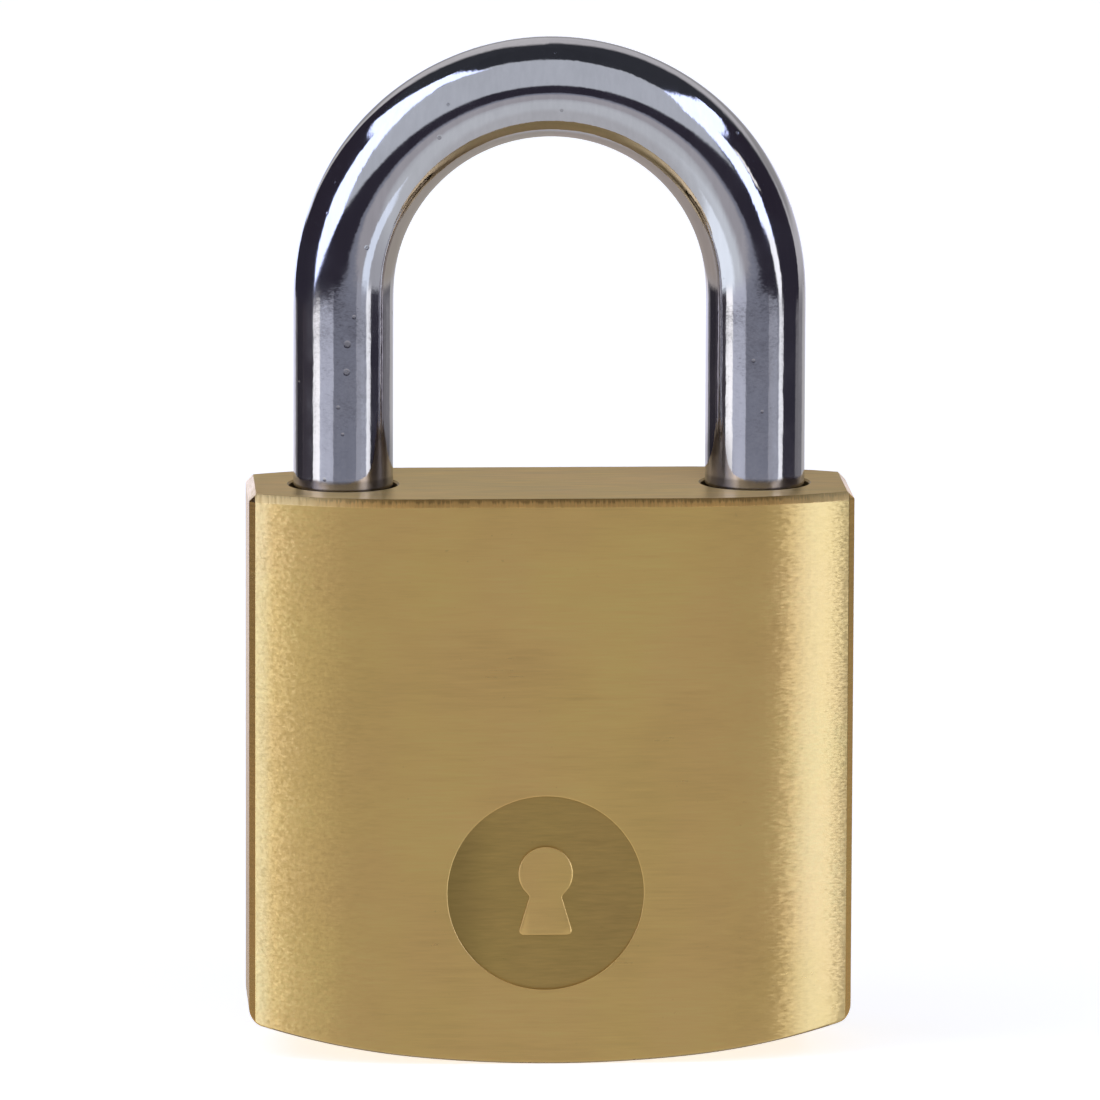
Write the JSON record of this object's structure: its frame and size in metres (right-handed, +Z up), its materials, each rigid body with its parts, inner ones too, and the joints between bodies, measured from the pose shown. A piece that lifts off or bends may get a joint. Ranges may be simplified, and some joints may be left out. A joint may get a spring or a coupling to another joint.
{
  "type": "padlock",
  "caption": "Rectangular brass body padlock with a chromed round steel shackle, arched underside, a round front recess and a pin tumbler cylinder in its base.",
  "frame": {"origin": "lowest line of the arched underside, midway between the shackle legs and mid thickness", "axes": "+Z up along the shackle legs, +X from the heel leg to the toe leg, +Y towards the back face; the recessed front faces -Y"},
  "size_m": [0.04, 0.0144, 0.0676],
  "materials": {
    "body_brass": "satin, brushed along the width",
    "plug_brass": "turned, semi bright",
    "shackle_chrome": "polished",
    "pin_steel": "ground",
    "spring_steel": "drawn wire"
  },
  "bodies": {
    "case": {"body": "body_brass", "shackle_stop_pin": "pin_steel", "plug_retaining_pin": "pin_steel", "cross_bore_plug": "body_brass", "chamber_plugs": "body_brass", "shackle_spring": "spring_steel", "pin_spring_1": "spring_steel", "pin_spring_2": "spring_steel", "pin_spring_3": "spring_steel", "pin_spring_4": "spring_steel", "pin_spring_5": "spring_steel"},
    "shackle": {"shackle": "shackle_chrome"},
    "plug": {"cylinder_plug": "plug_brass", "cam": "pin_steel"},
    "bolt_heel": {"latch_bolt_heel": "plug_brass", "bolt_spring_back": "spring_steel"},
    "bolt_toe": {"latch_bolt_toe": "plug_brass", "bolt_spring_front": "spring_steel"},
    "driver_1": {"driver_pin_1": "pin_steel"},
    "driver_2": {"driver_pin_2": "pin_steel"},
    "driver_3": {"driver_pin_3": "pin_steel"},
    "driver_4": {"driver_pin_4": "pin_steel"},
    "driver_5": {"driver_pin_5": "pin_steel"},
    "key_pin_body_1": {"key_pin_1": "plug_brass"},
    "key_pin_body_2": {"key_pin_2": "plug_brass"},
    "key_pin_body_3": {"key_pin_3": "plug_brass"},
    "key_pin_body_4": {"key_pin_4": "plug_brass"},
    "key_pin_body_5": {"key_pin_5": "plug_brass"}
  },
  "joints": [
    {"name": "shackle_lift", "type": "slide", "parent": "case", "child": "shackle", "axis": [0, 0, 1], "range_m": [0, 0.0105], "deforming": ["shackle_spring"]},
    {"name": "plug_turn", "type": "hinge", "parent": "case", "child": "plug", "pos_m": [0, 0, 0.0134], "axis": [0, 0, -1], "range_deg": [0, 90]},
    {"name": "bolt_heel_slide", "type": "slide", "parent": "case", "child": "bolt_heel", "axis": [-1, 0, 0], "range_m": [0, 0.0014]},
    {"name": "bolt_toe_slide", "type": "slide", "parent": "case", "child": "bolt_toe", "axis": [1, 0, 0], "range_m": [0, 0.0014]},
    {"name": "driver_pin_1_slide", "type": "slide", "parent": "case", "child": "driver_1", "axis": [1, 0, 0], "range_m": [0, 0.0005], "stiffness_N_per_m": 200, "springref_m": -0.002},
    {"name": "driver_pin_2_slide", "type": "slide", "parent": "case", "child": "driver_2", "axis": [1, 0, 0], "range_m": [0, 0.0005], "stiffness_N_per_m": 200, "springref_m": -0.002},
    {"name": "driver_pin_3_slide", "type": "slide", "parent": "case", "child": "driver_3", "axis": [1, 0, 0], "range_m": [0, 0.0005], "stiffness_N_per_m": 200, "springref_m": -0.002},
    {"name": "driver_pin_4_slide", "type": "slide", "parent": "case", "child": "driver_4", "axis": [1, 0, 0], "range_m": [0, 0.0005], "stiffness_N_per_m": 200, "springref_m": -0.002},
    {"name": "driver_pin_5_slide", "type": "slide", "parent": "case", "child": "driver_5", "axis": [1, 0, 0], "range_m": [0, 0.0005], "stiffness_N_per_m": 200, "springref_m": -0.002},
    {"name": "key_pin_1_slide", "type": "slide", "parent": "plug", "child": "key_pin_body_1", "axis": [0, -1, 0], "range_m": [0, 0.001]},
    {"name": "key_pin_2_slide", "type": "slide", "parent": "plug", "child": "key_pin_body_2", "axis": [0, -1, 0], "range_m": [0, 0.001]},
    {"name": "key_pin_3_slide", "type": "slide", "parent": "plug", "child": "key_pin_body_3", "axis": [0, -1, 0], "range_m": [0, 0.001]},
    {"name": "key_pin_4_slide", "type": "slide", "parent": "plug", "child": "key_pin_body_4", "axis": [0, -1, 0], "range_m": [0, 0.001]},
    {"name": "key_pin_5_slide", "type": "slide", "parent": "plug", "child": "key_pin_body_5", "axis": [0, -1, 0], "range_m": [0, 0.001]}
  ],
  "couplings": [
    {"joint": "plug_turn", "follows": "bolt_heel_slide", "rad_per_m": 1122},
    {"joint": "bolt_toe_slide", "follows": "bolt_heel_slide", "ratio": 1}
  ]
}
